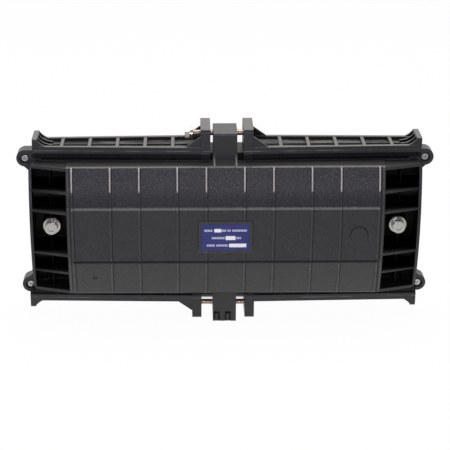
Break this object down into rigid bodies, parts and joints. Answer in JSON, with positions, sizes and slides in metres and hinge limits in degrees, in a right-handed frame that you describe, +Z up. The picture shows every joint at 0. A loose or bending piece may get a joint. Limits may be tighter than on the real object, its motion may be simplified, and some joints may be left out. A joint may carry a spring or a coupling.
{
  "type": "in-line splice closure",
  "caption": "Black in-line fibre splice closure: two ribbed half shells clamped by tapered rails, with cable ports at both ends and splice trays inside.",
  "frame": {"origin": "under the middle of the closure, on the surface that it stands on", "axes": "+X along the closure to the right seen from the front, +Y from the front shell to the back shell, +Z up"},
  "size_m": [0.408, 0.0874, 0.201],
  "materials": {
    "black_plastic": "black moulded polypropylene with a fine grain",
    "rail_plastic": "black glass-filled moulding, smoother than the shells",
    "seal_rubber": "black sealing rubber",
    "label_blue": "navy printed film on a thin plate",
    "clamp_steel": "zinc-plated steel, slightly warm",
    "bright_steel": "polished stainless steel",
    "screw_steel": "stainless steel",
    "carrier_steel": "plain stainless sheet",
    "tray_plastic": "off-white moulded plastic",
    "cover_plastic": "smooth pale plastic"
  },
  "bodies": {
    "root": {"front_shell": "black_plastic", "back_shell": "black_plastic", "gasket": "seal_rubber", "label_plate": "label_blue", "end_nut_left": "bright_steel", "end_nut_right": "bright_steel", "end_washer_front_left": "bright_steel", "end_washer_front_right": "bright_steel", "end_washer_back_left": "bright_steel", "end_washer_back_right": "bright_steel", "ear_screws": "screw_steel", "port_bush_upper_left": "seal_rubber", "port_bush_upper_right": "seal_rubber", "port_bush_lower_left": "seal_rubber", "port_bush_lower_right": "seal_rubber", "carrier_plate": "carrier_steel", "carrier_screws": "screw_steel", "tray_studs": "screw_steel", "tray_wing_nuts": "screw_steel", "splice_tray_rear": "tray_plastic", "splice_tray_front": "tray_plastic", "splice_comb_rear": "seal_rubber", "splice_comb_front": "seal_rubber", "tray_cover": "cover_plastic", "cable_clamp_upper_left": "screw_steel", "cable_clamp_upper_right": "screw_steel", "cable_clamp_lower_left": "screw_steel", "cable_clamp_lower_right": "screw_steel", "core_anchors": "screw_steel"},
    "rail_upper_left": {"rail_upper_left": "rail_plastic"},
    "rail_upper_right": {"rail_upper_right": "rail_plastic", "clamp_nut_upper": "clamp_steel"},
    "rail_lower_left": {"rail_lower_left": "rail_plastic"},
    "rail_lower_right": {"rail_lower_right": "rail_plastic", "clamp_nut_lower": "clamp_steel"},
    "clamp_bolt_upper": {"clamp_bolt_upper": "clamp_steel", "clamp_washer_upper": "clamp_steel", "spring_washer_upper": "clamp_steel"},
    "clamp_bolt_lower": {"clamp_bolt_lower": "clamp_steel", "clamp_washer_lower": "clamp_steel"},
    "end_bolt_left": {"end_bolt_left": "bright_steel"},
    "end_bolt_right": {"end_bolt_right": "bright_steel"}
  },
  "joints": [
    {"name": "slide_upper_left", "type": "slide", "parent": "root", "child": "rail_upper_left", "axis": [-1, 0, 0], "range_m": [-0.0023, 0.16]},
    {"name": "slide_upper_right", "type": "slide", "parent": "root", "child": "rail_upper_right", "axis": [1, 0, 0], "range_m": [-0.0056, 0.16]},
    {"name": "slide_lower_left", "type": "slide", "parent": "root", "child": "rail_lower_left", "axis": [-1, 0, 0], "range_m": [-0.0109, 0.16]},
    {"name": "slide_lower_right", "type": "slide", "parent": "root", "child": "rail_lower_right", "axis": [1, 0, 0], "range_m": [-0.0085, 0.16]},
    {"name": "turn_clamp_upper", "type": "hinge", "parent": "rail_upper_left", "child": "clamp_bolt_upper", "pos_m": [-0.03, 0, 0.1915], "axis": [1, 0, 0], "continuous": true},
    {"name": "turn_clamp_lower", "type": "hinge", "parent": "rail_lower_left", "child": "clamp_bolt_lower", "pos_m": [-0.035, 0, 0.0095], "axis": [1, 0, 0], "continuous": true},
    {"name": "turn_end_left", "type": "hinge", "parent": "root", "child": "end_bolt_left", "pos_m": [-0.171, -0.02, 0.1005], "axis": [0, 1, 0], "continuous": true},
    {"name": "turn_end_right", "type": "hinge", "parent": "root", "child": "end_bolt_right", "pos_m": [0.171, -0.02, 0.1005], "axis": [0, 1, 0], "continuous": true}
  ]
}
